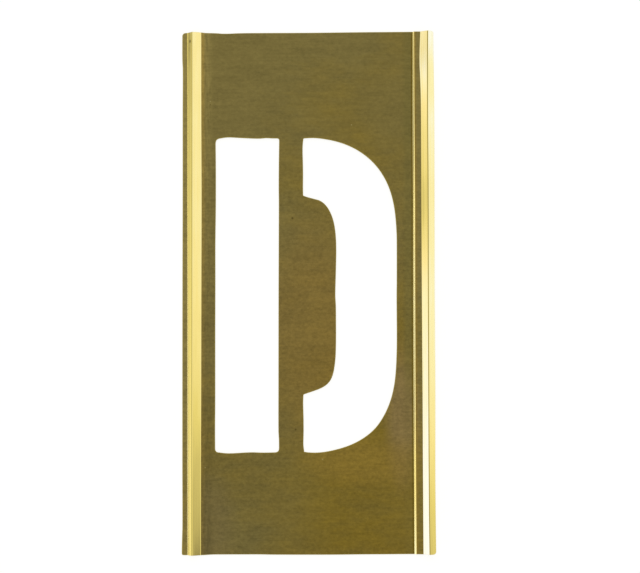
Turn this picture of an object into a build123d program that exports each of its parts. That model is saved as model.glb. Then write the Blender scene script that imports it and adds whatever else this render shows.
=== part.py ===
from build123d import *
import math
import os

# Lettering stencil of thin sheet brass, in millimetres.
# It lies on its flat back. X runs across the letter, Y up the letter and Z up off the back.
# The origin is the middle of the whole stencil's footprint, at the height of the flat back.
# The folded sheet is divided into its leaves, one solid each, along the middle of every fold.

# Sheet
sheet_thickness = 0.38
outer_corner_radius = 0.6

# Folds: each one keeps the sheet's thickness
fold_inner_radius = 0.05
fold_outer_radius = fold_inner_radius + sheet_thickness

# Left edge, from outside in: flat flange, steep outer flank, gentle inner flank
left_flange_width = 1.15
left_outer_flank_width = 1.40
left_inner_flank_width = 2.10
left_ridge_height = 1.15

# Right edge, from inside out: step up, flat band, ridge that laps over the next stencil's left ridge
step_width = 0.48
lap_band_width = 1.45
right_outer_flank_width = 1.85
nesting_clearance = 0.05

# Letter
letter_height = 76.2
stem_width = 15.35
tie_width = 5.85
bowl_width = 22.70
bowl_stroke_width = 14.75
stem_corner_radius = 0.50
bowl_corner_radius = 0.30

# Outer curve of the bowl: where it leaves the straight runs, and how far its handles reach
bowl_top_run = 2.25
bowl_top_handle = 3.00
bowl_upper_shoulder_drop = 22.90
bowl_upper_shoulder_handle = 21.90
bowl_bottom_run = 2.25
bowl_bottom_handle = 5.85
bowl_lower_shoulder_rise = 22.30
bowl_lower_shoulder_handle = 20.30

# Inner curve of the bowl, round the counter: a slanted run, then a curve into the upright
upper_arm_height = 14.10
lower_arm_height = 14.00
counter_run = 3.45
upper_counter_fall = 1.00
lower_counter_rise = 1.20
upper_counter_handle = 4.50
lower_counter_handle = 4.30
counter_shoulder_height = 9.00
upper_counter_upright_handle = 4.00
lower_counter_upright_handle = 10.40

# Bare sheet round the letter, up to the cut ends and to the folds: the sheet is cut to its letter
top_margin = 25.70
bottom_margin = 24.40
left_margin = 3.35
right_margin = 4.05
sheet_height = top_margin + letter_height + bottom_margin
flat_field_width = left_margin + stem_width + tie_width + bowl_width + right_margin

# One overrun serves all cutting tools
cut_overrun = 2.0

# The leaves of the folded sheet, from left to right
leaf_names = [
    "left_flange",
    "left_outer_flank",
    "left_inner_flank",
    "letter_plate",
    "right_step",
    "right_lap_band",
    "right_inner_flank",
    "right_outer_flank",
]


def beside(chain, distance):
    """The points of the line that runs beside a chain of points, mitred at each corner."""
    headings = [math.atan2(b[1] - a[1], b[0] - a[0]) for a, b in zip(chain, chain[1:])]
    before = [headings[0]] + headings
    after = headings + [headings[-1]]
    points = []
    for (x, z), first, second in zip(chain, before, after):
        middle = (first + second) / 2
        reach = distance / math.cos((second - first) / 2)
        points.append((x - reach * math.sin(middle), z + reach * math.cos(middle)))
    return points


def sheet_chain():
    """The upper side of the section, from the outer left edge to the free edge on the right."""
    left_crest = left_flange_width + left_outer_flank_width
    left_foot = left_crest + left_inner_flank_width
    step_start = left_foot + flat_field_width
    chain = [
        (0, sheet_thickness),
        (left_flange_width, sheet_thickness),
        (left_crest, sheet_thickness + left_ridge_height),
        (left_foot, sheet_thickness),
        (step_start, sheet_thickness),
    ]
    # The right ridge is the left one's outline, moved off it by the clearance and one thickness
    flange_end, crest, foot = beside(chain, nesting_clearance + sheet_thickness)[1:4]
    band_start = step_start + step_width
    band_end = band_start + lap_band_width
    right_crest = (band_end + crest[0] - flange_end[0], crest[1])
    slope = (foot[1] - crest[1]) / (foot[0] - crest[0])
    free_edge = (right_crest[0] + right_outer_flank_width, crest[1] + slope * right_outer_flank_width)
    return chain + [(band_start, flange_end[1]), (band_end, flange_end[1]), right_crest, free_edge]


# Measured from the outer left edge first, then moved to its place about the middle
overall_width = sheet_chain()[-1][0]
outer_left = -overall_width / 2
upper_chain = [(x + outer_left, z) for x, z in sheet_chain()]
under_chain = beside(upper_chain, -sheet_thickness)


def fold_radii(chain):
    """The radius on the upper side of each corner of a chain: large on a crest, small in a foot."""
    radii = []
    for a, b, c in zip(chain, chain[1:], chain[2:]):
        turn = (b[0] - a[0]) * (c[1] - b[1]) - (b[1] - a[1]) * (c[0] - b[0])
        radii.append(fold_outer_radius if turn < 0 else fold_inner_radius)
    return radii


def sheet_section():
    """The whole folded section, with every fold rounded on both sides."""
    upper_radii = fold_radii(upper_chain)
    under_radii = [fold_outer_radius + fold_inner_radius - radius for radius in upper_radii]
    upper = Plane.XZ * FilletPolyline(*upper_chain, radius=upper_radii)
    under = Plane.XZ * FilletPolyline(*under_chain, radius=under_radii)
    left_edge = Line(upper @ 0, under @ 0)
    free_edge = Line(upper @ 1, under @ 1)
    return make_face([*upper.edges(), *under.edges(), left_edge, free_edge])


def leaf_region(index):
    """The part of the section's plane that holds one leaf, from mid-fold to mid-fold."""
    above = beside(upper_chain, sheet_thickness)
    below = beside(under_chain, -sheet_thickness)
    corners = [above[index], above[index + 1], below[index + 1], below[index]]
    return Plane.XZ * make_face(Polyline(*corners, close=True))


def leaf(index):
    """One leaf as tall as the sheet, trimmed by the sheet's rounded outer corners."""
    section = sheet_section() & leaf_region(index)
    strip = extrude(section, sheet_height / 2, both=True)
    depth = max(z for x, z in upper_chain) + cut_overrun
    outline = RectangleRounded(overall_width, sheet_height, outer_corner_radius)
    return strip & extrude(outline, depth, both=True)


# Letter lines
letter_top = sheet_height / 2 - top_margin
letter_bottom = letter_top - letter_height
letter_middle = (letter_top + letter_bottom) / 2
left_foot = upper_chain[leaf_names.index("letter_plate")][0]
stem_left = left_foot + left_margin
stem_right = stem_left + stem_width
bowl_left = stem_right + tie_width
bowl_right = bowl_left + bowl_width
counter_right = bowl_right - bowl_stroke_width


def stem_face():
    middle = ((stem_left + stem_right) / 2, letter_middle)
    return Pos(*middle) * RectangleRounded(stem_width, letter_height, stem_corner_radius)


def bowl_outer_lines():
    """The outside of the bowl, from its upper left corner round to its lower left corner."""
    top_end = bowl_left + bowl_top_run
    bottom_end = bowl_left + bowl_bottom_run
    upper_shoulder = letter_top - bowl_upper_shoulder_drop
    lower_shoulder = letter_bottom + bowl_lower_shoulder_rise
    return [
        Line((bowl_left, letter_top), (top_end, letter_top)),
        Bezier(
            (top_end, letter_top),
            (top_end + bowl_top_handle, letter_top),
            (bowl_right, upper_shoulder + bowl_upper_shoulder_handle),
            (bowl_right, upper_shoulder),
        ),
        Line((bowl_right, upper_shoulder), (bowl_right, lower_shoulder)),
        Bezier(
            (bowl_right, lower_shoulder),
            (bowl_right, lower_shoulder - bowl_lower_shoulder_handle),
            (bottom_end + bowl_bottom_handle, letter_bottom),
            (bottom_end, letter_bottom),
        ),
        Line((bottom_end, letter_bottom), (bowl_left, letter_bottom)),
    ]


def counter_corner(arm_end, fall, slant_handle, upright_handle, side):
    """One slanted run and the curve that turns it into the upright; side is 1 above, -1 below."""
    run_end = Vector(bowl_left + counter_run, arm_end - side * fall)
    slant = (run_end - Vector(bowl_left, arm_end)).normalized()
    shoulder = letter_middle + side * counter_shoulder_height
    return [
        Line((bowl_left, arm_end), run_end),
        Bezier(
            run_end,
            run_end + slant * slant_handle,
            (counter_right, shoulder + side * upright_handle),
            (counter_right, shoulder),
        ),
    ]


def bowl_face():
    upper_arm_end = letter_top - upper_arm_height
    lower_arm_end = letter_bottom + lower_arm_height
    upper = counter_corner(
        upper_arm_end, upper_counter_fall, upper_counter_handle, upper_counter_upright_handle, 1
    )
    lower = counter_corner(
        lower_arm_end, lower_counter_rise, lower_counter_handle, lower_counter_upright_handle, -1
    )
    upright = Line(
        (counter_right, letter_middle + counter_shoulder_height),
        (counter_right, letter_middle - counter_shoulder_height),
    )
    arm_ends = [
        Line((bowl_left, letter_top), (bowl_left, upper_arm_end)),
        Line((bowl_left, letter_bottom), (bowl_left, lower_arm_end)),
    ]
    face = make_face([*bowl_outer_lines(), *upper, upright, *lower, *arm_ends])
    corners = face.vertices().filter_by_position(
        Axis.X, bowl_left - bowl_corner_radius, bowl_left + bowl_corner_radius
    )
    return fillet(corners, bowl_corner_radius)


def letter_cutter():
    """Both openings of the letter as one tool that runs past both sides of the sheet."""
    letter = Sketch() + [stem_face(), bowl_face()]
    return extrude(letter, sheet_thickness + cut_overrun, both=True)


nodes = {name: leaf(index) for index, name in enumerate(leaf_names)}
nodes["letter_plate"] -= letter_cutter()

os.makedirs("parts", exist_ok=True)
for name, shape in nodes.items():
    export_step(shape, f"parts/{name}.step")
    box = shape.bounding_box()
    print(name, "volume", round(shape.volume, 2), "low", box.min, "high", box.max)
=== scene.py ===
import math
from collections import namedtuple

import bpy
from mathutils import Color, Matrix, Vector, geometry


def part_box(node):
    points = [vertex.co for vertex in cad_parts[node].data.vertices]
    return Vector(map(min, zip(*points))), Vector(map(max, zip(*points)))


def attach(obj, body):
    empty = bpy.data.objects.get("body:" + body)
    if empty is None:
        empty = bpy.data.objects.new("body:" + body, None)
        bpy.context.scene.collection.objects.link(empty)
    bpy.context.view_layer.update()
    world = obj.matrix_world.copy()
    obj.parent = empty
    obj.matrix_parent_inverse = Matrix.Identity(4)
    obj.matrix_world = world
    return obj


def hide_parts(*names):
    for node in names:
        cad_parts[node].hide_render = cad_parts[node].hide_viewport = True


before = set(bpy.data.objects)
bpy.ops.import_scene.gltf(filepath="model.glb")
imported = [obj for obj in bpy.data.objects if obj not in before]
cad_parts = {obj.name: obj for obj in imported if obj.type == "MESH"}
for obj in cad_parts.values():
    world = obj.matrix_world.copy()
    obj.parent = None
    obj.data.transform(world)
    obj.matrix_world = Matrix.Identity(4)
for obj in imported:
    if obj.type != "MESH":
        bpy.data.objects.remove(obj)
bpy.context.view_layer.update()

# Lettering stencil of thin sheet brass. Its eight leaves are made again with the hand work that the
# photograph shows: wavering cuts, wandering folds and patina. Where they lean, a painted reflection
# makes them gold.
# X runs across the letter, Y up the letter and Z up off the flat back.
# Lengths are in millimetres. They become metres where a vertex, the floor or the camera is placed.
mm = 0.001

# The leaves of the folded sheet, from left to right
leaf_names = [
    "left_flange",
    "left_outer_flank",
    "left_inner_flank",
    "letter_plate",
    "right_step",
    "right_lap_band",
    "right_inner_flank",
    "right_outer_flank",
]
last_leaf = len(leaf_names) - 1
plate_index = leaf_names.index("letter_plate")

# Overall size, from the frame
outer_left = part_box("left_flange")[0].x / mm
outer_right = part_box("right_outer_flank")[1].x / mm
overall_width = outer_right - outer_left
half_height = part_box("letter_plate")[1].y / mm
sheet_height = 2 * half_height

# Sheet, the rounding of its cut edges, and the band beside a cut in which its painted glint fades out
sheet_thickness = 0.38
cut_rounding = 0.06
cut_band = 0.30

# Section, from left to right
left_flange_width = 1.15
left_outer_flank_width = 1.40
left_inner_flank_width = 2.10
left_ridge_height = 1.15
flat_field_width = 51.30
step_width = 0.48
lap_band_width = 1.45
nesting_clearance = 0.05

# Letter
letter_height = 76.2
top_margin = 25.70
stem_left = -22.63
stem_width = 15.35
tie_width = 5.85
bowl_width = 22.70
bowl_stroke_width = 14.75
letter_top = half_height - top_margin
letter_bottom = letter_top - letter_height
letter_middle = (letter_top + letter_bottom) / 2
letter_ends = {1: letter_top, -1: letter_bottom}
stem_right = stem_left + stem_width
bowl_left = stem_right + tie_width
bowl_right = bowl_left + bowl_width
counter_right = bowl_right - bowl_stroke_width

# The bowl's upper half is 1 and its lower half is -1. Outer curve of each half: where it leaves the
# straight runs, and how far its handles reach
bowl_run = 2.25
bowl_run_handles = {1: 3.00, -1: 5.85}
bowl_shoulder_depths = {1: 22.90, -1: 22.30}
bowl_shoulder_handles = {1: 21.90, -1: 20.30}

# Inner curve of each half, round the counter: a slanted run, then a curve into the upright
arm_heights = {1: 14.10, -1: 14.00}
counter_run = 3.45
counter_falls = {1: 1.00, -1: 1.20}
slant_handles = {1: 4.50, -1: 4.30}
upright_handles = {1: 4.00, -1: 10.40}
counter_shoulder_height = 9.00

# Radii of the openings' corners, clockwise: the stem's from its upper left one, and the bowl's from
# its lower left one
stem_corner_radii = [1.3, 0.6, 1.1, 0.9]
bowl_corner_radii = [0.3, 0.3, 0.3, 0.54]

# Hand-cut sides: how far each one strays to its left as it is followed clockwise round its opening,
# as (share of its length, distance)
stem_left_bows = [
    (0, 0.07), (0.08, 0.1), (0.16, 0.06), (0.4, 0.06), (0.55, 0.03), (0.66, 0.04), (0.78, -0.065),
    (0.9, -0.07), (1, 0),
]
stem_top_bows = [
    (0, -0.25), (0.05, -0.15), (0.16, 0.13), (0.25, 0.15), (0.36, 0.05), (0.6, -0.13), (0.7, -0.15),
    (0.81, -0.03), (0.9, -0.11), (1, -0.1),
]
stem_right_bows = [
    (0, 0.1), (0.08, 0.01), (0.16, -0.035), (0.2, 0), (0.35, -0.045), (0.5, -0.1), (0.8, -0.15),
    (0.93, -0.16), (0.96, -0.05), (1, -0.03),
]
stem_bottom_bows = [
    (0, -0.07), (0.19, -0.005), (0.3, -0.015), (0.41, -0.08), (0.52, -0.035), (0.75, 0.15),
    (0.86, 0.105), (0.95, -0.07), (1, -0.13),
]
bowl_outer_bows = [
    (0, -0.13), (0.02, -0.03), (0.055, -0.08), (0.09, -0.05), (0.13, -0.02), (0.2, 0.01), (0.25, -0.02),
    (0.31, -0.11), (0.335, -0.1), (0.37, 0.01), (0.47, -0.02), (0.5, -0.07), (0.61, -0.06),
    (0.67, -0.24), (0.7, -0.24), (0.78, -0.12), (0.82, 0.015), (0.87, -0.05), (0.92, -0.085),
    (0.965, 0.04), (0.99, -0.04), (1, -0.25),
]
lower_arm_bows = [
    (0, -0.25), (0.12, -0.03), (0.22, -0.03), (0.35, -0.08), (0.6, -0.06), (0.85, 0.02), (1, -0.05),
]
upper_arm_bows = [
    (0, -0.05), (0.15, -0.025), (0.36, -0.05), (0.56, -0.02), (0.77, 0.05), (0.88, 0.01), (0.97, -0.11),
    (1, -0.17),
]
counter_bows = [
    (0, -0.05), (0.06, -0.08), (0.09, -0.03), (0.13, 0.02), (0.19, 0.05), (0.25, 0), (0.45, 0.01),
    (0.5, 0.14), (0.6, -0.005), (0.7, -0.14), (0.81, -0.26), (0.86, -0.19), (0.91, -0.09), (0.975, 0),
    (1, -0.05),
]

# Hand-folded lines: how far each one strays to the right, as (share of the half height, distance)
outer_left_strays = [
    (-1, -0.1), (-0.95, -0.06), (-0.9, 0.03), (-0.83, 0.04), (-0.67, 0), (0, -0.025), (0.4, 0),
    (0.7, -0.02), (0.86, 0), (0.91, -0.12), (1, -0.12),
]
flange_strays = [(-1, 0.08), (-0.5, 0.05), (0, 0.03), (0.4, -0.02), (0.7, -0.02), (1, -0.08)]
left_crest_strays = [(-1, -0.27), (0, -0.25), (1, -0.26)]
left_foot_strays = [
    (-1, -0.2), (-0.6, -0.21), (-0.4, -0.175), (0, -0.145), (0.37, -0.11), (0.67, -0.2), (1, -0.23),
]
step_start_strays = [(-1, -0.05), (-0.5, -0.1), (0, -0.09), (0.35, -0.03), (0.67, -0.04), (1, 0.02)]
step_end_strays = [
    (-1, -0.11), (-0.67, -0.15), (-0.4, -0.21), (0, -0.185), (0.37, -0.115), (0.67, -0.22),
    (0.85, -0.22), (1, -0.24),
]
band_end_strays = [
    (-1, 0.14), (-0.67, 0.10), (-0.4, 0.09), (0, 0.015), (0.37, 0), (0.72, -0.01), (0.81, -0.13),
    (0.89, -0.31), (1, -0.10),
]
right_crest_strays = [
    (-1, 0.17), (-0.83, 0.07), (-0.4, 0.03), (0, 0.05), (0.37, 0.11), (0.67, 0.08), (0.85, 0.13), (1, 0.2),
]
outer_right_strays = [
    (-1, -0.16), (-0.83, -0.24), (-0.67, -0.26), (-0.4, -0.17), (0, -0.2), (0.37, -0.145),
    (0.67, -0.1), (1, -0.26),
]

# The folds from left to right, with the free edges as the first and the last. The radius is on the
# upper side. A fold's painted sheen is at least its floor share, and its painted glow adds sheen where
# it leans gently right.
Fold = namedtuple("Fold", "radius floor_share glow_share strays")
folds = [
    Fold(0, 0, 0, outer_left_strays),
    Fold(0.15, 0, 0, flange_strays),
    Fold(0.43, 0.20, 0.45, left_crest_strays),
    Fold(0.50, 0, 0.45, left_foot_strays),
    Fold(0.15, 0, 0, step_start_strays),
    Fold(0.40, 0, 0, step_end_strays),
    Fold(0.15, 0, 0, band_end_strays),
    Fold(0.43, 0.14, 0, right_crest_strays),
    Fold(0, 0, 0, outer_right_strays),
]

# Cut ends, with 1 for the top one and -1 for the bottom one: how far each one runs past the nominal
# height, as (share of the width, distance)
end_strays = {
    1: [
        (0, -0.02), (0.03, 0.06), (0.055, 0.16), (0.075, 0.14), (0.085, 0.04), (0.12, -0.02),
        (0.135, -0.05), (0.155, -0.16), (0.19, -0.15), (0.22, -0.06), (0.3, -0.02), (0.5, 0),
        (0.7, 0.12), (0.8, 0.16), (1, 0.24),
    ],
    -1: [
        (0, 0.14), (0.07, 0.18), (0.12, 0.02), (0.16, 0.01), (0.25, 0.01), (0.3, 0.01), (0.36, 0.07),
        (0.47, 0.1), (0.6, 0.11), (0.7, 0.06), (0.8, 0.04), (0.9, 0.01), (1, 0.04),
    ],
}
left_corner_radii = {1: 0.75, -1: 0.40}
right_corner_radii = {1: 0.45, -1: 0.65}

# Gentle waves in the sheet, which isn't perfectly flat: their height, length and where they start
wave_height = 0.03
across_wave_length = 74
across_wave_start = -12
along_wave_length = 128
along_wave_start = 20
slanting_wave_length = 150

# Fineness of the meshes
row_count = 60
half_fold_steps = 5
corner_steps = 6
across_steps = 3
bowl_curve_points = 70
counter_curve_points = 34
outline_spacing = 0.5
end_spacing = 1.0
grid_spacing = 1.8
grid_clearance = 0.8
grid_stagger_share = 0.25
merge_distance = 1e-6
merge_digits = 5

quarter_turn = math.pi / 2
eighth_turn = math.pi / 4


def between(start, end, share):
    return start + (end - start) * share


def eased(value, low, high):
    """A share that rises smoothly from 0 to 1 as a value goes from low to high."""
    share = min(max((value - low) / (high - low), 0), 1)
    return share * share * (3 - 2 * share)


def through(points, place):
    """Value at a place on the smooth line through points of (place, value)."""
    place = min(max(place, points[0][0]), points[-1][0])
    at = max(i for i, (x, _) in enumerate(points[:-1]) if x <= place)
    slopes = []
    for i in (at, at + 1):
        before = points[max(i - 1, 0)]
        after = points[min(i + 1, len(points) - 1)]
        slopes.append((after[1] - before[1]) / (after[0] - before[0]))
    (start, start_value), (end, end_value) = points[at], points[at + 1]
    share = (place - start) / (end - start)
    bend = (end - start) * share * (1 - share) * ((1 - share) * slopes[0] - share * slopes[1])
    return between(start_value, end_value, eased(share, 0, 1)) + bend


def direction_of(lean):
    """Direction of a line in the section that leans by an angle, as (x, z)."""
    return Vector((math.cos(lean), math.sin(lean)))


def normal_of(lean):
    """Direction square to that line, on its upper side."""
    return Vector((-math.sin(lean), math.cos(lean)))


def beside(chain, distance):
    """The points of the line that runs beside a chain of points, mitred at each corner."""
    headings = [math.atan2(b[1] - a[1], b[0] - a[0]) for a, b in zip(chain, chain[1:])]
    before = [headings[0]] + headings
    after = headings + [headings[-1]]
    points = []
    for (x, z), first, second in zip(chain, before, after):
        middle = (first + second) / 2
        reach = distance / math.cos((second - first) / 2)
        points.append((x - reach * math.sin(middle), z + reach * math.cos(middle)))
    return points


def sheet_chain():
    """The upper side of the section, from the outer left edge to the free edge on the right."""
    flange_end = outer_left + left_flange_width
    left_crest = flange_end + left_outer_flank_width
    left_foot = left_crest + left_inner_flank_width
    step_start = left_foot + flat_field_width
    chain = [
        (outer_left, sheet_thickness),
        (flange_end, sheet_thickness),
        (left_crest, sheet_thickness + left_ridge_height),
        (left_foot, sheet_thickness),
        (step_start, sheet_thickness),
    ]
    # The right ridge is the left one's outline, moved off it by the clearance and one thickness
    lifted, crest, foot = beside(chain, nesting_clearance + sheet_thickness)[1:4]
    band_start = step_start + step_width
    band_end = band_start + lap_band_width
    right_crest = (band_end + crest[0] - lifted[0], crest[1])
    slope = (foot[1] - crest[1]) / (foot[0] - crest[0])
    free_edge = (outer_right, crest[1] + slope * (outer_right - right_crest[0]))
    return chain + [(band_start, lifted[1]), (band_end, lifted[1]), right_crest, free_edge]


nominal_chain = sheet_chain()


def chain_at(y):
    """The section's corners at one height, each strayed as the hand work left it."""
    share = y / half_height
    return [Vector((x + through(fold.strays, share), z)) for (x, z), fold in zip(nominal_chain, folds)]


def across_plate(x, y):
    """How far across the plate a place lies, from its left fold to its right one."""
    left, right = chain_at(y)[plate_index:plate_index + 2]
    return (x - left.x) / (right.x - left.x) * flat_field_width


def corner_drop(distance, radius):
    """How much a rounded corner takes off the sheet's end at a distance from its outer edge."""
    into_corner = min(max(radius - distance, 0), radius)
    return radius - math.sqrt(radius ** 2 - into_corner ** 2)


def cut_end(x, end):
    """Height of the sheet's cut end above one place."""
    chain = chain_at(end * half_height)
    stray = through(end_strays[end], (x - outer_left) / overall_width)
    left_drop = corner_drop(x - chain[0].x, left_corner_radii[end])
    right_drop = corner_drop(chain[-1].x - x, right_corner_radii[end])
    return end * (half_height + stray - left_drop - right_drop)


def cut_normal(x, end):
    """Direction in which the cut end faces at one place, as (x, y)."""
    chain = chain_at(end * half_height)
    before = max(x - cut_rounding, chain[0].x)
    after = min(x + cut_rounding, chain[-1].x)
    rise = cut_end(after, end) - cut_end(before, end)
    return Vector((-rise * end, (after - before) * end)).normalized()


def wave(distance, length):
    return math.sin(2 * math.pi * distance / length)


def sheet_lift(x, y):
    """How far the thin sheet rises off the table at one place."""
    across = wave(x - across_wave_start, across_wave_length)
    along = wave(y - along_wave_start, along_wave_length)
    return wave_height * (2 + across * along + wave(x + y, slanting_wave_length))


# The cut edges are rounded on both sides of the sheet. As the rounding turns from the flat face into
# the wall, it nears the cut and goes down into the sheet.


def rounded_inset(turn):
    return cut_rounding * (1 - math.sin(turn))


def rounded_depth(turn):
    return cut_rounding * (1 - math.cos(turn))


# The turns of a rounded wall as (side, turn), from the upper side, which is 1, to the under side
rounding_turns = [0, eighth_turn, quarter_turn]
wall_turns = [(1, turn) for turn in rounding_turns] + [(-1, turn) for turn in rounding_turns[::-1]]

# One row across the sheet: its place between the cut ends, how far in from the nearer one it lies, at
# most the band, how far the rounded cut edge has turned there, and which end it belongs to, or 0
Row = namedtuple("Row", "share inset turn end")


def end_rows(end):
    """The rows at one cut end, from the cut inwards."""
    share = (1 + end) / 2
    turned = [Row(share, rounded_inset(turn), turn, end) for turn in rounding_turns[::-1]]
    return turned + [Row(share, cut_band, 0, end)]


middle_rows = [Row(step / row_count, cut_band, 0, 0) for step in range(1, row_count)]
rows = end_rows(-1) + middle_rows + end_rows(1)[::-1]


def row_height(x, row):
    """Height of a row above one place, between the wavering cut ends."""
    return between(cut_end(x, -1), cut_end(x, 1), row.share) - row.end * row.inset


# One station in the section: a point on the upper side, how the sheet leans there, and the number of
# the fold that it lies on, or 0
Station = namedtuple("Station", "upper lean fold")


def under(station):
    return station.upper - normal_of(station.lean) * sheet_thickness


def fold_stations(number, corner, lean_before, lean_after):
    """Stations round one fold. The middle one is where its two leaves meet."""
    turn = lean_after - lean_before
    side = -1 if turn < 0 else 1
    radius = folds[number].radius
    centre = corner + normal_of((lean_before + lean_after) / 2) * side * radius / math.cos(turn / 2)
    stations = []
    for step in range(2 * half_fold_steps + 1):
        lean = lean_before + turn * step / (2 * half_fold_steps)
        stations.append(Station(centre - normal_of(lean) * side * radius, lean, number))
    return stations


def edge_stations(edge, inward, lean, radius):
    """Stations from a free edge inwards, close together round the sheet's corner."""
    turns = [quarter_turn * step / corner_steps for step in range(corner_steps + 1)]
    rounds = [radius * (1 - math.cos(turn)) for turn in turns]
    distances = [cut_rounding] + [distance for distance in rounds if distance > cut_rounding]
    return [Station(edge + inward * distance, lean, 0) for distance in distances]


def between_stations(first, second):
    """Stations spread over the straight stretch between two others."""
    shares = [step / across_steps for step in range(1, across_steps)]
    return [Station(first.upper.lerp(second.upper, share), first.lean, 0) for share in shares]


def leaf_stations(index, row):
    """A leaf's stations in one row: those at its left side, and those at its right side."""
    chain = chain_at(between(-half_height, half_height, row.share))
    leans = [math.atan2(b.y - a.y, b.x - a.x) for a, b in zip(chain, chain[1:])]
    lean = leans[index]
    inward = direction_of(lean)
    if index == 0:
        start = edge_stations(chain[0], inward, lean, max(left_corner_radii.values()))
    else:
        start = fold_stations(index, chain[index], leans[index - 1], lean)[half_fold_steps:]
    if index == last_leaf:
        finish = edge_stations(chain[-1], -inward, lean, max(right_corner_radii.values()))[::-1]
    else:
        whole_fold = fold_stations(index + 1, chain[index + 1], lean, leans[index + 1])
        finish = whole_fold[:half_fold_steps + 1]
    return start, finish


# Painted reflection: how bright each leaning leaf is painted, as (share of the half height, sheen)
leaf_painted_sheen = {
    "left_outer_flank": [
        (-1, 0.54), (-0.84, 0.58), (-0.4, 0.53), (0, 0.48), (0.35, 0.36), (0.66, 0.27), (0.95, 0.15),
    ],
    "left_inner_flank": [
        (-1, 0.14), (-0.84, 0.22), (-0.68, 0.30), (-0.42, 0.53), (0, 0.68), (0.35, 0.73), (1, 0.75),
    ],
    "right_step": [
        (-1, 0.88), (-0.7, 0.66), (-0.4, 0.82), (0, 0.84), (0.35, 0.74), (0.66, 0.78), (1, 0.72),
    ],
    "right_inner_flank": [
        (-1, 1.0), (-0.68, 0.97), (-0.4, 0.90), (0, 0.80), (0.2, 0.58), (0.35, 0.44), (0.5, 0.54),
        (0.66, 0.62), (0.85, 0.86), (0.95, 0.76),
    ],
    "right_outer_flank": [
        (-1, 0.37), (-0.84, 0.47), (-0.68, 0.6), (-0.4, 0.76), (0, 0.86), (0.35, 0.8), (0.66, 0.89),
        (0.85, 0.84), (0.95, 0.97),
    ],
}

# Painted reflection: the sheet is painted dull up to the first of each two leans, in degrees, and
# bright from the second on. The painted glow of a fold is full up to the first and gone from the
# second on.
left_facing_leans = (15, 30)
right_facing_leans = (6, 11)
glow_leans = (20, 27)
glow_peak = 0.92

# The left outer flank has a painted highlight at its foot, beside the flange
foot_painted_sheen = 0.26
foot_width = 0.5


def full_painted_sheen(index, station, y):
    """A leaf's painted sheen at one height. On a fold, a dull leaf takes after its neighbour."""
    name = leaf_names[index]
    if station.fold and name not in leaf_painted_sheen:
        name = leaf_names[index - 1 if station.fold == index else index + 1]
    return through(leaf_painted_sheen[name], y / half_height) if name in leaf_painted_sheen else 0


def painted_sheen_of(index, station, y, across):
    """Painted sheen at one place: dull where the sheet lies flat, bright where it leans."""
    fold = folds[station.fold]
    painted_sheen = full_painted_sheen(index, station, y)
    if leaf_names[index] == "left_outer_flank":
        painted_sheen += foot_painted_sheen * (1 - eased(across, 0, foot_width))
    steepness = math.degrees(abs(station.lean))
    leans = left_facing_leans
    if station.lean <= 0:
        leans = right_facing_leans
        glow = (1 - eased(steepness, *glow_leans)) * fold.glow_share
        painted_sheen = between(painted_sheen, max(painted_sheen, glow_peak), glow)
    return max(painted_sheen * eased(steepness, *leans), fold.floor_share)


def in_scene(name, data):
    """A new object in the scene."""
    made = bpy.data.objects.new(name, data)
    bpy.context.scene.collection.objects.link(made)
    return made


class Skin:
    """A leaf's mesh in the making: points that fall together are one vertex."""

    def __init__(self, index):
        self.index = index
        self.points = []
        self.normals = []
        self.marks = []
        self.faces = []
        self.known = {}

    def vertex(self, point, normal, across, painted_sheen, cut):
        """The number of the vertex at a point, which carries three marks for the material."""
        x, y, z = point
        lifted = Vector((x, y, z + sheet_lift(x, y)))
        key = tuple(round(value, merge_digits) for value in lifted)
        if key not in self.known:
            self.known[key] = len(self.points)
            self.points.append(lifted * mm)
            self.normals.append(Vector(normal).normalized())
            self.marks.append((across, painted_sheen, cut))
        return self.known[key]

    def face(self, *corners):
        """A face, if it has more than two corners."""
        distinct = list(dict.fromkeys(corners))
        if len(distinct) > 2:
            self.faces.append(distinct)

    def bridge(self, first, second):
        """Faces between two rows of vertices."""
        for corners in zip(first, first[1:], second[1:], second):
            self.face(*corners)

    def finish(self, name):
        """Puts the mesh into the scene as one piece."""
        mesh = bpy.data.meshes.new(name)
        mesh.from_pydata(self.points, [], self.faces)
        for title, values in zip(("across", "painted_sheen", "cut"), zip(*self.marks)):
            attribute = mesh.attributes.new(title, "FLOAT", "POINT")
            attribute.data.foreach_set("value", values)
        mesh.shade_smooth()
        mesh.normals_split_custom_set_from_vertices(self.normals)
        return in_scene(name, mesh)


# One place in the section: its point and normal as (x, z), how far across the leaf it lies, and its
# station
Place = namedtuple("Place", "point normal across station")

# The section of a leaf as four runs of places or vertices, clockwise from the upper left. Only a free
# edge has a wall.
Ring = namedtuple("Ring", "upper right_wall under left_wall")


def edge_wall(station, way, across):
    """The rounded wall of a free edge, which faces right (1) or left (-1), from the upper side down."""
    up = normal_of(station.lean)
    outward = direction_of(station.lean) * way
    places = []
    for side, turn in wall_turns[1:-1]:
        surface = station.upper if side > 0 else under(station)
        reach = outward * (cut_rounding - rounded_inset(turn))
        normal = up * side * math.cos(turn) + outward * math.sin(turn)
        places.append(Place(surface + reach - up * side * rounded_depth(turn), normal, across, station))
    return places


def section(stations, left_free=False, right_free=False):
    """The section of a leaf through its stations, as a ring of places."""
    upper_run = []
    under_run = []
    across = 0.0
    for before, station in zip(stations[:1] + stations, stations):
        across += (station.upper - before.upper).length
        up = normal_of(station.lean)
        upper_run.append(Place(station.upper, up, across, station))
        under_run.append(Place(under(station), -up, across, station))
    left_wall = edge_wall(stations[0], -1, 0)[::-1] if left_free else []
    right_wall = edge_wall(stations[-1], 1, across) if right_free else []
    return Ring(upper_run, right_wall, under_run[::-1], left_wall)


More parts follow.
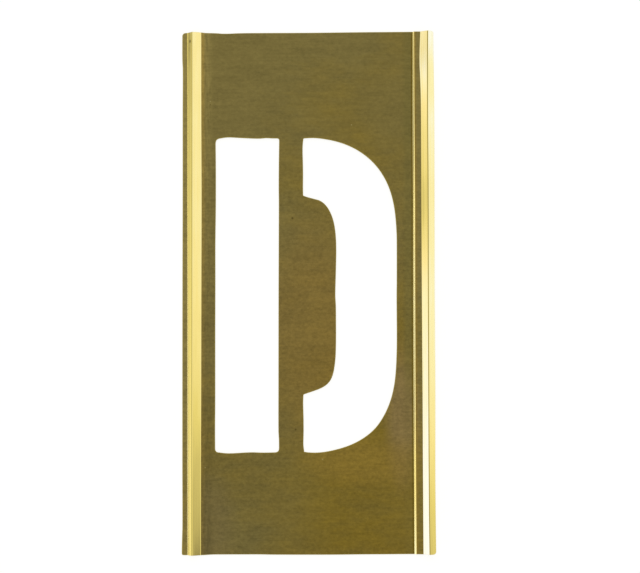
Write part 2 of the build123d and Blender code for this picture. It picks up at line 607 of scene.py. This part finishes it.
def place_vertex(skin, ring, row, place):
    """Puts one place of a ring into the skin at one row."""
    x = place.point.x
    y = row_height(x, row)
    bent = place.point - place.normal * rounded_depth(row.turn)
    normal = Vector((place.normal.x, 0, place.normal.y)) * math.cos(row.turn)
    if row.end:
        normal += cut_normal(x, row.end).to_3d() * math.sin(row.turn)
    from_cut = row.inset
    if ring.left_wall:
        from_cut = min(from_cut, place.across)
    if ring.right_wall:
        from_cut = min(from_cut, ring.upper[-1].across - place.across)
    cut = 1 - eased(from_cut, cut_rounding, cut_band)
    painted_sheen = painted_sheen_of(skin.index, place.station, y, place.across)
    across = across_plate(x, y) if skin.index == plate_index else place.across
    return skin.vertex((bent.x, y, bent.y), normal, across, painted_sheen, cut)


def ring_vertices(skin, ring, row):
    """Puts a ring of places into the skin at one row, and returns the ring of its vertices."""
    return Ring(*[[place_vertex(skin, ring, row, place) for place in run] for run in ring])


def walk_round(ring, open_side):
    """The vertices of a ring in order, from its open side round to it again."""
    if open_side == "right":
        return ring.under + ring.upper
    if open_side == "left":
        return ring.upper + ring.under
    return ring.upper + ring.right_wall + ring.under + ring.left_wall + ring.upper[:1]


def close_strip(skin, rings, open_side=None):
    """Faces between the rings of a strip, and the cut faces at its two ends."""
    for low, high in zip(rings, rings[1:]):
        skin.bridge(walk_round(low, open_side), walk_round(high, open_side))
    for ring, order in ((rings[0], -1), (rings[-1], 1)):
        under_run = ring.under[::-1]
        caps = list(zip(ring.upper, ring.upper[1:], under_run[1:], under_run))
        caps.append((ring.upper[-1], *ring.right_wall, under_run[-1]))
        caps.append((under_run[0], *ring.left_wall, ring.upper[0]))
        for cap in caps:
            skin.face(*cap[::order])


def narrow_leaf(index):
    """One of the narrow folded leaves beside the letter plate, as a closed strip."""
    skin = Skin(index)
    rings = []
    for row in rows:
        start, finish = leaf_stations(index, row)
        stations = start + between_stations(start[-1], finish[0]) + finish
        rings.append(ring_vertices(skin, section(stations, index == 0, index == last_leaf), row))
    close_strip(skin, rings)
    return skin


def straight(start, end):
    """Points spread over a straight run."""
    start = Vector(start)
    end = Vector(end)
    count = max(2, round((end - start).length / outline_spacing))
    return [start.lerp(end, step / count) for step in range(count + 1)]


def chained(*runs):
    """Runs of points one after the other, without the doubled points between them."""
    return runs[0] + [point for run in runs[1:] for point in run[1:]]


def left_of(line, closed=False):
    """At each point of a line, the direction to its left. Left of a clockwise opening is the sheet."""
    before = (line[-1:] if closed else line[:1]) + line[:-1]
    after = line[1:] + (line[:1] if closed else line[-1:])
    steps = [(b - a).normalized() for a, b in zip(before, after)]
    return [Vector((-step.y, step.x)) for step in steps]


def bowed(side, bows):
    """A side pushed to its left by distances spread over its length, as a hand-guided cut leaves it."""
    lengths = [0.0]
    for a, b in zip(side, side[1:]):
        lengths.append(lengths[-1] + (b - a).length)
    shares = [length / lengths[-1] for length in lengths]
    return [p + left * through(bows, share) for p, left, share in zip(side, left_of(side), shares)]


def trimmed(side, distance):
    """A side cut back by a distance from its start."""
    points = list(side)
    left = distance
    while (points[1] - points[0]).length <= left:
        left -= (points[1] - points[0]).length
        points.pop(0)
    points[0] = points[0] + (points[1] - points[0]).normalized() * left
    return points


def joined(sides, radii):
    """Sides joined into one closed outline. Each radius rounds the corner after its side."""
    outline = []
    for i, side in enumerate(sides):
        following = sides[(i + 1) % len(sides)]
        corner = (side[-1] + following[0]) / 2
        points = trimmed(trimmed(side, radii[i - 1])[::-1], radii[i])[::-1]
        goal = trimmed(following, radii[i])[0]
        outline += points
        for step in range(1, corner_steps):
            share = step / corner_steps
            outline.append(points[-1].lerp(corner, share).lerp(corner.lerp(goal, share), share))
    return outline


def stem_outline():
    """The stem's opening, clockwise from its lower left corner."""
    left_side = [(stem_left, letter_bottom), (stem_left, letter_top)]
    corners = left_side + [(stem_right, letter_top), (stem_right, letter_bottom)]
    following = corners[1:] + corners[:1]
    bows = [stem_left_bows, stem_top_bows, stem_right_bows, stem_bottom_bows]
    sides = [bowed(straight(a, b), side_bows) for a, b, side_bows in zip(corners, following, bows)]
    return joined(sides, stem_corner_radii)


def bowl_half(side):
    """The outside of one half of the bowl, from its left corner to its shoulder."""
    end = letter_ends[side]
    run_end = bowl_left + bowl_run
    shoulder = end - side * bowl_shoulder_depths[side]
    first_handle = (run_end + bowl_run_handles[side], end)
    second_handle = (bowl_right, shoulder + side * bowl_shoulder_handles[side])
    curve = [(run_end, end), first_handle, second_handle, (bowl_right, shoulder)]
    run = straight((bowl_left, end), (run_end, end))
    return chained(run, geometry.interpolate_bezier(*curve, bowl_curve_points))


def counter_half(side):
    """The edge of one half of the counter, from the tip of the bowl's arm to its shoulder."""
    arm_end = Vector((bowl_left, letter_ends[side] - side * arm_heights[side]))
    run_end = arm_end + Vector((counter_run, -side * counter_falls[side]))
    shoulder = letter_middle + side * counter_shoulder_height
    first_handle = run_end + (run_end - arm_end).normalized() * slant_handles[side]
    second_handle = (counter_right, shoulder + side * upright_handles[side])
    curve = [run_end, first_handle, second_handle, (counter_right, shoulder)]
    return chained(straight(arm_end, run_end), geometry.interpolate_bezier(*curve, counter_curve_points))


def bowl_outline():
    """The bowl's opening, clockwise from its upper left corner, round and back along the counter."""
    upper, lower = bowl_half(1), bowl_half(-1)
    upper_counter, lower_counter = counter_half(1), counter_half(-1)
    outside = chained(upper, straight(upper[-1], lower[-1]), lower[::-1])
    counter = chained(lower_counter, straight(lower_counter[-1], upper_counter[-1]), upper_counter[::-1])
    sides = [
        bowed(outside, bowl_outer_bows),
        bowed(straight(lower[0], lower_counter[0]), lower_arm_bows),
        bowed(counter, counter_bows),
        bowed(straight(upper_counter[0], upper[0]), upper_arm_bows),
    ]
    return joined(sides, bowl_corner_radii)


def is_open(spot, openings):
    """Whether a place lies inside one of the openings."""
    inside = False
    for outline in openings:
        for a, b in zip(outline, outline[1:] + outline[:1]):
            if (a.y > spot.y) != (b.y > spot.y):
                if spot.x < a.x + (b.x - a.x) * (spot.y - a.y) / (b.y - a.y):
                    inside = not inside
    return inside


def plate_vertex(skin, place, side, turn=0, outward=Vector((0, 0)), cut=0.0):
    """A vertex of the plate's flat field, or of its rounded cut edge where turn is set."""
    level = sheet_thickness - rounded_depth(turn) if side > 0 else rounded_depth(turn)
    normal = (outward * math.sin(turn)).to_3d() + Vector((0, 0, side * math.cos(turn)))
    return skin.vertex((place.x, place.y, level), normal, across_plate(place.x, place.y), 0.0, cut)


def cut_wall(skin, cut, inward, outward, order):
    """The rounded wall along a cut. Returns the line where the flat faces begin."""
    walls = []
    for side, turn in wall_turns:
        points = [point + into * rounded_inset(turn) for point, into in zip(cut, inward)]
        walls.append([plate_vertex(skin, p, side, turn, o, 1.0) for p, o in zip(points, outward)])
    for pair in zip(walls, walls[1:]):
        skin.bridge(*pair[::order])
    return [point + into * cut_rounding for point, into in zip(cut, inward)]


def opening_edge(skin, outline):
    """The wall round an opening, as a closed loop."""
    inward = left_of(outline, closed=True)
    inward += inward[:1]
    return cut_wall(skin, outline + outline[:1], inward, [-into for into in inward], -1)[:-1]


def end_edge(skin, end, left, right):
    """The wall at one end of the flat field, from its left fold to its right one."""
    count = round((right - left) / end_spacing)
    places = [between(left, right, step / count) for step in range(count + 1)]
    cut = [Vector((x, cut_end(x, end))) for x in places]
    inward = [Vector((0, -end))] * len(cut)
    return cut_wall(skin, cut, inward, [cut_normal(x, end) for x in places], end)


def half_fold(skin, side):
    """Half a fold along one side of the flat field. Returns the line where the field begins."""
    rings = []
    line = []
    for row in rows:
        start, finish = leaf_stations(plate_index, row)
        stations, border = (start, start[-1].upper) if side == "left" else (finish, finish[0].upper)
        rings.append(ring_vertices(skin, section(stations), row))
        if row.turn == 0:
            line.append(Vector((border.x, row_height(border.x, row))))
    close_strip(skin, rings, open_side="right" if side == "left" else "left")
    return line


def grid_points(taken, openings):
    """A staggered grid of points over the flat field, clear of the points that are taken."""
    columns = round(flat_field_width / grid_spacing)
    lines = round(sheet_height / grid_spacing)
    left = nominal_chain[plate_index][0]
    right = nominal_chain[plate_index + 1][0]
    found = []
    for line in range(1, lines):
        stagger = grid_stagger_share if line % 2 else -grid_stagger_share
        for column in range(1, columns):
            x = between(left, right, (column + stagger) / columns)
            spot = Vector((x, between(-half_height, half_height, line / lines)))
            clear = all((spot - point).length > grid_clearance for point in taken)
            if clear and not is_open(spot, openings):
                found.append(spot)
    return found


def flat_field(skin, border, openings, close_rows):
    """The flat faces on both sides: triangles over a grid, with the outlines as fixed edges."""
    points = []
    edges = []
    for loop in [border, *openings]:
        first = len(points)
        points += loop
        edges += [(first + i, first + (i + 1) % len(loop)) for i in range(len(loop))]
    points += close_rows
    points += grid_points(points, openings)
    inside_border = 1
    spots, _, faces, *_ = geometry.delaunay_2d_cdt(points, edges, [], inside_border, merge_distance)
    middles = [sum((spots[i] for i in face), Vector((0, 0))) / len(face) for face in faces]
    faces = [face for face, middle in zip(faces, middles) if not is_open(middle, openings)]
    for side in (1, -1):
        vertices = [plate_vertex(skin, spot, side) for spot in spots]
        for face in faces:
            skin.face(*[vertices[i] for i in face[::side]])


def letter_plate():
    """The flat field with the letter's two openings, and half a fold along each side."""
    skin = Skin(plate_index)
    left_line = half_fold(skin, "left")
    right_line = half_fold(skin, "right")
    bottom_line = end_edge(skin, -1, left_line[0].x, right_line[0].x)
    top_line = end_edge(skin, 1, left_line[-1].x, right_line[-1].x)
    border = bottom_line + right_line[1:] + top_line[::-1][1:] + left_line[::-1][1:-1]
    openings = [opening_edge(skin, stem_outline()), opening_edge(skin, bowl_outline())]

    # Close rows of points beside the cuts, in which the painted glint of the edge fades out
    band = cut_band - cut_rounding
    close_rows = []
    for loop in openings:
        close_rows += [point + into * band for point, into in zip(loop, left_of(loop, closed=True))]
    for end, line in ((1, top_line), (-1, bottom_line)):
        close_rows += [point - Vector((0, end * band)) for point in line[1:-1]]
    flat_field(skin, border, openings, close_rows)
    return skin


def tone(red, green, blue):
    """A colour given in display values of 0 to 255, as the linear colour that a shader takes."""
    shown = Color((red / 255, green / 255, blue / 255))
    return (*shown.from_srgb_to_scene_linear(), 1)


# Tarnished tones, then tones of painted light beside the folds
olive_brass = tone(113, 101, 56)
bronze_brass = tone(120, 101, 38)
copper_brass = tone(127, 104, 52)
margin_copper = tone(130, 111, 70)
light_bronze = tone(134, 111, 48)
grey_brass = tone(112, 99, 62)
right_margin_brass = tone(108, 98, 52)
# Painted reflection of the gold flank on the plate, by the left fold
painted_flank_reflection = tone(144, 119, 54)
# Painted shadow at the foot of the step
fold_shadow = tone(99, 82, 22)
# Painted sheen where the step rounds over onto the lap band
painted_step_sheen = tone(137, 111, 46)

# Tones of the painted reflection: gold where the leaves lean
dull_gold = tone(160, 146, 82)
warm_gold = tone(233, 212, 116)
clear_gold = tone(250, 229, 143)
pale_gold = tone(254, 241, 176)
white_gold = tone(255, 252, 226)
# Painted glint on the rounded cut edges
painted_cut_glint = tone(178, 160, 72)

# Tones of the small marks
speck_light = tone(150, 138, 90)
speck_dark = tone(78, 66, 30)
# Painted shade of a small dent
painted_dent_shade = tone(96, 84, 42)
worn_gold = tone(196, 178, 98)

# The painted gold from the least to the most painted sheen, as (sheen, tone)
gold_stops = [(0, dull_gold), (0.5, warm_gold), (0.68, clear_gold), (0.84, pale_gold), (1, white_gold)]

# A soft oval mark, which fades out over the outer part of its half width and half height
Mark = namedtuple("Mark", "tone x y half_width half_height share", defaults=[0.75])
leaf_marks = {
    "letter_plate": [
        Mark(speck_light, -23.9, 46.4, 0.17, 0.17),
        Mark(speck_dark, -23.9, 45.6, 0.2, 0.2),
        Mark(speck_light, -25.1, -42.3, 0.2, 0.2),
        Mark(speck_dark, -4, 17.9, 0.4, 0.4),
        Mark(speck_dark, -3.3, -33.2, 0.36, 0.36),
        Mark(speck_light, 3.2, -40.4, 0.25, 0.25),
        Mark(speck_light, 10.4, 40.6, 0.2, 0.2),
        Mark(speck_dark, 9.4, 1.6, 0.17, 0.17),
    ],
    # A small dent on the flank, shown only by painted shade
    "left_outer_flank": [Mark(painted_dent_shade, -28.8, 61.0, 0.35, 0.55)],
    "right_inner_flank": [Mark(worn_gold, 27.74, 21.5, 0.34, 9)],
}

# Broad patches of other tones in the patina
patches = [
    Mark(copper_brass, 1, -9, 17, 36, 0.55),
    Mark(margin_copper, 22.5, -30, 5.5, 22, 0.8),
    Mark(light_bronze, 14, -41, 20, 8, 0.6),
    Mark(olive_brass, 19, 44, 9, 12, 0.6),
    Mark(grey_brass, -24, -56, 8, 16, 0.6),
]

# A noise: how often it changes in a millimetre across and along the sheet, its detail and roughness,
# and the slice of it that is seen
Noise = namedtuple("Noise", "across along detail roughness slice", defaults=[0])
fine_noise = Noise(1.3, 1.8, 3, 0.62)
stroke_noise = Noise(0.12, 1.7, 2, 0.55)
cloud_noise = Noise(0.14, 0.38, 3, 0.55)
drift_noise = Noise(0.035, 0.03, 1, 0.5)
scratch_noise = Noise(2.6, 0.35, 2, 0.6)
line_noise = Noise(2.6, 0.012, 3, 0.65, 3.7)
wear_noise = Noise(0.9, 0.09, 3, 0.6, 8.1)

# A change from one place or value to another, and what it gives at each of the two
Change = namedtuple("Change", "low high at_low at_high")
mark_fade = Change(1, 0.3, 0, 1)

# Grain of the dull brass: how much each noise shows, the finest one by the height on the sheet
fine_amount = Change(20, 42, 0.86, 0.6)
stroke_amount = 0.3
cloud_amount = 0.36

# Patina: its share of bronze across the sheet and down it, and how much the noises move that share
bronze_across = Change(-28, 26, -0.25, 0.35)
bronze_down = Change(40, -45, -0.15, 0.55)
drift_amount = 1.7
cloud_bronze_amount = 0.7
leaf_bronze = {"right_lap_band": -0.5}

# Painted light: how light the dull brass is by the height on the sheet, lighter towards the top
painted_height_light = Change(-60, 60, 0.94, 1.03)
leaf_painted_height_light = {
    "left_flange": Change(-60, 60, 1.175, 1.4626),
    "right_lap_band": Change(-60, 60, 1.0528, 1.1845),
}

# Letter plate: the painted reflection of the gold flank along its left fold, and the scratched margin
# beside it
flank_reflection_fade = Change(0.15, 1.3, 1, 0)
flank_reflection_share = Change(-60, 60, 0.3, 0.6)
left_margin_fade = Change(1.6, 3.4, 1, 0)
left_margin_light = Change(-60, 60, -0.16, 0.22)
scratch_amount = 0.6

# Letter plate: its right margin, and the narrow painted shadow at the foot of the step
right_margin_fade = Change(flat_field_width - 3, flat_field_width - 1.5, 0, 1)
right_margin_share = Change(-34, -8, 0.15, 0.7)
step_shadow_fade = Change(flat_field_width - 0.62, flat_field_width - 0.25, 0, 0.8)

# Right lap band: the warmer painted sheen beside the step, where the sheet rounds over onto it
step_sheen_fade = Change(0.1, 0.8, 0.7, 0)

# Painted gold reflection: how much its painted lines of reflection and its wear move the sheen,
# and its tint where a leaf departs
plain_line_amount = 0.2
leaf_line_amounts = {"left_outer_flank": 0.45, "right_inner_flank": 0.35}
wear_amount = 0.16
leaf_tints = {"right_inner_flank": (0.84, 0.83, 0.9, 1)}
# The painted sheen at which the painted gold takes over from the dull brass
painted_gold_onset = Change(0.04, 0.22, 0, 1)

# Cut edges: their painted glint by the mark on the mesh, and what is left of it on painted gold
cut_glint_share = Change(0.6, 0.9, 0, 0.6)
cut_glint_on_painted_gold = Change(0, 1, 1, 0.1)

# Surface of the dull brass and of the brass painted gold
flat_roughness = 0.42
grain_roughness = 0.25
painted_gold_roughness = 0.2
relief_depth = 0.02
relief_strength = Change(0, 1, 0.35, 0.05)


class Nodes:
    """A short way to write the nodes of a material or of the world."""

    def __init__(self, owner):
        owner.use_nodes = True
        self.tree = owner.node_tree

    def fill(self, node, inputs):
        """Gives each input of a node a plain value, or links another node's result to it."""
        for socket, value in inputs.items():
            if isinstance(value, bpy.types.NodeSocket):
                self.tree.links.new(value, node.inputs[socket])
            else:
                node.inputs[socket].default_value = value

    def node(self, kind, inputs, output=0, **settings):
        """A new node with its inputs filled. Returns one of its outputs."""
        made = self.tree.nodes.new(kind)
        for key, setting in settings.items():
            setattr(made, key, setting)
        self.fill(made, inputs)
        return made.outputs[output]

    def maths(self, operation, first, second, third=0.0, clamp=False):
        inputs = {0: first, 1: second, 2: third}
        return self.node("ShaderNodeMath", inputs, operation=operation, use_clamp=clamp)

    def times(self, first, second):
        return self.maths("MULTIPLY", first, second)

    def varied(self, base, noise, amount, clamp=False):
        """A value moved up and down by a noise, by up to half the amount."""
        return self.maths("MULTIPLY_ADD", self.maths("SUBTRACT", noise, 0.5), amount, base, clamp)

    def mark(self, title):
        """One of the marks that the mesh carries."""
        return self.node("ShaderNodeAttribute", {}, "Fac", attribute_name=title)

    def position(self):
        """The place on the sheet, in metres."""
        return self.node("ShaderNodeTexCoord", {}, "Object")

    def axis(self, name):
        """One coordinate of the place, in millimetres."""
        return self.maths("DIVIDE", self.node("ShaderNodeSeparateXYZ", {0: self.position()}, name), mm)

    def noise(self, where, look):
        inputs = {"Vector": where, "Scale": 1.0, "Detail": look.detail, "Roughness": look.roughness}
        return self.node("ShaderNodeTexNoise", inputs, "Fac")

    def grain(self, look):
        """A noise by the place on the sheet."""
        inputs = {"Vector": self.position(), "Scale": (look.across / mm, look.along / mm, 1 / mm)}
        return self.noise(self.node("ShaderNodeMapping", inputs), look)

    def lines(self, look):
        """A noise by the distance across the leaf and along it, so that it follows the folds."""
        across = self.times(self.mark("across"), look.across)
        along = self.times(self.axis("Y"), look.along)
        return self.noise(self.node("ShaderNodeCombineXYZ", {0: across, 1: along, 2: look.slice}), look)

    def spread(self, value, change, kind="LINEAR"):
        """What a change gives at a value."""
        inputs = dict(zip(("Value", "From Min", "From Max", "To Min", "To Max"), (value, *change)))
        return self.node("ShaderNodeMapRange", inputs, "Result", interpolation_type=kind)

    def eased(self, value, change):
        """The same, with a smooth start and end."""
        return self.spread(value, change, "SMOOTHSTEP")

    def mix(self, share, first, second, blend="MIX"):
        inputs = {"Factor": share, 6: first, 7: second}
        return self.node("ShaderNodeMix", inputs, 2, data_type="RGBA", blend_type=blend)

    def ramp(self, value, stops):
        made = self.tree.nodes.new("ShaderNodeValToRGB")
        self.fill(made, {0: value})
        elements = made.color_ramp.elements
        elements[0].position, elements[0].color = stops[0]
        elements[1].position, elements[1].color = stops[-1]
        for position, colour in stops[1:-1]:
            elements.new(position).color = colour
        return made.outputs[0]

    def scaled(self, colour, factor):
        """A colour made lighter or darker by a factor."""
        vector = colour[:3] if isinstance(colour, tuple) else colour
        return self.node("ShaderNodeVectorMath", {0: vector, "Scale": factor}, operation="SCALE")

    def marked(self, colour, mark):
        """A colour with a soft oval mark on it."""
        squeeze = (1 / (mark.half_width * mm), 1 / (mark.half_height * mm), 0)
        middle = (mark.x / mark.half_width, mark.y / mark.half_height, 0)
        place = self.node("ShaderNodeVectorMath", {0: self.position(), 1: squeeze}, operation="MULTIPLY")
        far = self.node("ShaderNodeVectorMath", {0: place, 1: middle}, "Value", operation="DISTANCE")
        return self.mix(self.times(self.eased(far, mark_fade), mark.share), colour, mark.tone)


def plate_margins(made, dull, grain, along):
    """Letter plate's dull brass, with painted reflection and shadow among the tones along its folds."""
    across = made.mark("across")
    # Painted reflection of the gold flank, stronger towards the top where the flank is brighter
    flank_reflection = made.times(made.eased(across, flank_reflection_fade), made.spread(along, flank_reflection_share))
    dull = made.mix(flank_reflection, dull, made.scaled(painted_flank_reflection, grain))
    beside_left = made.eased(across, left_margin_fade)
    scratched = made.varied(1.0, made.grain(scratch_noise), made.times(beside_left, scratch_amount))
    lightened = made.maths("MULTIPLY_ADD", beside_left, made.spread(along, left_margin_light), 1.0)
    dull = made.scaled(made.scaled(dull, scratched), lightened)
    beside_right = made.times(made.eased(across, right_margin_fade), made.eased(along, right_margin_share))
    dull = made.mix(beside_right, dull, made.scaled(right_margin_brass, grain))
    # The narrow painted shadow at the foot of the step
    return made.mix(made.eased(across, step_shadow_fade), dull, made.scaled(fold_shadow, grain))


def dull_brass(made, name, grain, clouds):
    """Patina: olive over most of the sheet, and bronze towards its lower right."""
    along = made.axis("Y")
    bronze = made.maths("ADD", made.spread(made.axis("X"), bronze_across), made.spread(along, bronze_down))
    bronze = made.maths("ADD", bronze, leaf_bronze.get(name, 0.0))
    bronze = made.varied(bronze, made.grain(drift_noise), drift_amount)
    bronze = made.varied(bronze, clouds, cloud_bronze_amount, clamp=True)
    dull = made.mix(bronze, olive_brass, bronze_brass)
    for patch in patches:
        dull = made.marked(dull, patch)
    # Painted light, lighter towards the top of the sheet
    level = made.spread(along, leaf_painted_height_light.get(name, painted_height_light))
    dull = made.scaled(dull, made.times(grain, level))
    if name == "letter_plate":
        dull = plate_margins(made, dull, grain, along)
    if name == "right_lap_band":
        # Painted sheen where the step rounds over onto the band
        step_sheen = made.eased(made.mark("across"), step_sheen_fade)
        dull = made.mix(step_sheen, dull, made.scaled(painted_step_sheen, grain))
    return dull


def painted_gold_reflection(made, name):
    """Painted reflection: gold by the painted sheen, with long painted lines of reflection along the
    folds.
    """
    line_amount = leaf_line_amounts.get(name, plain_line_amount)
    painted_sheen = made.varied(made.mark("painted_sheen"), made.lines(line_noise), line_amount)
    painted_sheen = made.varied(painted_sheen, made.lines(wear_noise), wear_amount, clamp=True)
    gold = made.ramp(painted_sheen, gold_stops)
    if name in leaf_tints:
        gold = made.mix(1.0, gold, leaf_tints[name], "MULTIPLY")
    return gold


def sheet_brass(name):
    """Brass sheet: tarnished and finely streaked, with a painted reflection in gold where its folds lean.
    """
    material = bpy.data.materials.new(name + "_brass")
    made = Nodes(material)

    # Rolling grain: short fine strokes across the sheet, longer ones over them, and cloudy patches
    clouds = made.grain(cloud_noise)
    grain = made.varied(1.0, made.grain(fine_noise), made.eased(made.axis("Y"), fine_amount))
    grain = made.varied(grain, made.grain(stroke_noise), stroke_amount)
    grain = made.varied(grain, clouds, cloud_amount)

    # Painted reflection: the dull brass gives way to gold where the painted sheen is bright
    painted_gold_share = made.eased(made.mark("painted_sheen"), painted_gold_onset)
    colour = made.mix(painted_gold_share, dull_brass(made, name, grain, clouds), painted_gold_reflection(made, name))
    for mark in leaf_marks.get(name, []):
        colour = made.marked(colour, mark)

    # The cut edges get a thin painted glint of gold
    cut = made.times(made.spread(made.mark("cut"), cut_glint_share), made.spread(painted_gold_share, cut_glint_on_painted_gold))
    colour = made.mix(cut, colour, painted_cut_glint)

    rough = made.maths("MULTIPLY_ADD", made.maths("SUBTRACT", grain, 1.0), grain_roughness, flat_roughness)
    rough = made.spread(painted_gold_share, Change(0, 1, rough, painted_gold_roughness))
    strength = made.spread(painted_gold_share, relief_strength)
    bumps = {"Strength": strength, "Distance": relief_depth * mm, "Height": grain}
    relief = made.node("ShaderNodeBump", bumps)
    looks = {"Base Color": colour, "Metallic": 1.0, "Roughness": rough, "Normal": relief}
    made.fill(made.tree.nodes["Principled BSDF"], looks)
    return material


for index, name in enumerate(leaf_names):
    skin = letter_plate() if index == plate_index else narrow_leaf(index)
    piece = skin.finish(name + "_sheet")
    piece.data.materials.append(sheet_brass(name))
    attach(piece, "root")
    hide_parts(name)

# World and floor: both show white to the camera. A share of the floor's white is its answer to the
# lamps, in which the sheet's shadow lies, and the rest is its own light.
world_level = 0.62
floor_white = 1.09
floor_shade_share = 0.24
floor_tint = (1, 1, 0.985, 1)
floor_roughness = 0.9
floor_half_width = 4000
floor_gap = 0.02

# The camera stands over the sheet's lower half, a little off the upright, and sees it slightly turned
aim_x = 2.663
aim_y = 1.313
camera_distance = 400
camera_tilt = math.radians(2.27)
camera_roll = math.radians(-0.12)
camera_near = 10
sensor_width = 36
photo_width = 640
pixel_size = 0.2421


def white_behind(made, plain, shown):
    """The strength that camera, glossy and transmission rays see, and the plain one for the rest."""
    rays = made.tree.nodes.new("ShaderNodeLightPath").outputs
    seen = made.maths("MAXIMUM", rays["Is Camera Ray"], rays["Is Glossy Ray"])
    seen = made.maths("MAXIMUM", seen, rays["Is Transmission Ray"])
    return made.spread(seen, Change(0, 1, plain, shown))


def make_world():
    world = bpy.data.worlds.new("studio")
    bpy.context.scene.world = world
    made = Nodes(world)
    looks = {"Color": (1, 1, 1, 1), "Strength": white_behind(made, world_level, 1.0)}
    made.fill(made.tree.nodes["Background"], looks)


def make_floor():
    """A pale floor just under the sheet."""
    reach = floor_half_width * mm
    corners = [(-reach, -reach), (reach, -reach), (reach, reach), (-reach, reach)]
    mesh = bpy.data.meshes.new("floor")
    mesh.from_pydata([(x, y, -floor_gap * mm) for x, y in corners], [], [(0, 1, 2, 3)])
    material = bpy.data.materials.new("pale_floor")
    made = Nodes(material)
    looks = {
        "Base Color": (floor_shade_share,) * 3 + (1,),
        "Roughness": floor_roughness,
        "Specular IOR Level": 0.0,
        "Emission Color": floor_tint,
        "Emission Strength": white_behind(made, 0.0, floor_white - floor_shade_share),
    }
    made.fill(made.tree.nodes["Principled BSDF"], looks)
    mesh.materials.append(material)
    in_scene("floor", mesh)


def soft_sun(name, azimuth, height, spread, strength):
    """A broad soft light. Its azimuth, height and spread are in degrees; azimuth 0 is to the right."""
    data = bpy.data.lights.new(name, "SUN")
    data.energy = strength
    data.angle = math.radians(spread)
    sun = in_scene(name, data)
    sun.rotation_euler = (0, quarter_turn - math.radians(height), math.radians(azimuth))


def make_camera():
    data = bpy.data.cameras.new("camera")
    data.sensor_fit = "HORIZONTAL"
    data.sensor_width = sensor_width
    data.lens = sensor_width * camera_distance / (pixel_size * photo_width)
    data.clip_start = camera_near * mm
    camera = in_scene("camera", data)
    camera.matrix_world = (
        Matrix.Translation(Vector((aim_x, aim_y, sheet_thickness)) * mm)
        @ Matrix.Rotation(camera_tilt, 4, "X")
        @ Matrix.Rotation(camera_roll, 4, "Z")
        @ Matrix.Translation((0, 0, camera_distance * mm))
    )
    bpy.context.scene.camera = camera


make_world()
make_floor()
soft_sun("key", azimuth=98, height=40, spread=50, strength=0.36)
soft_sun("low_left", azimuth=185, height=12, spread=44, strength=0.12)
make_camera()
bpy.context.scene.view_settings.view_transform = "Standard"
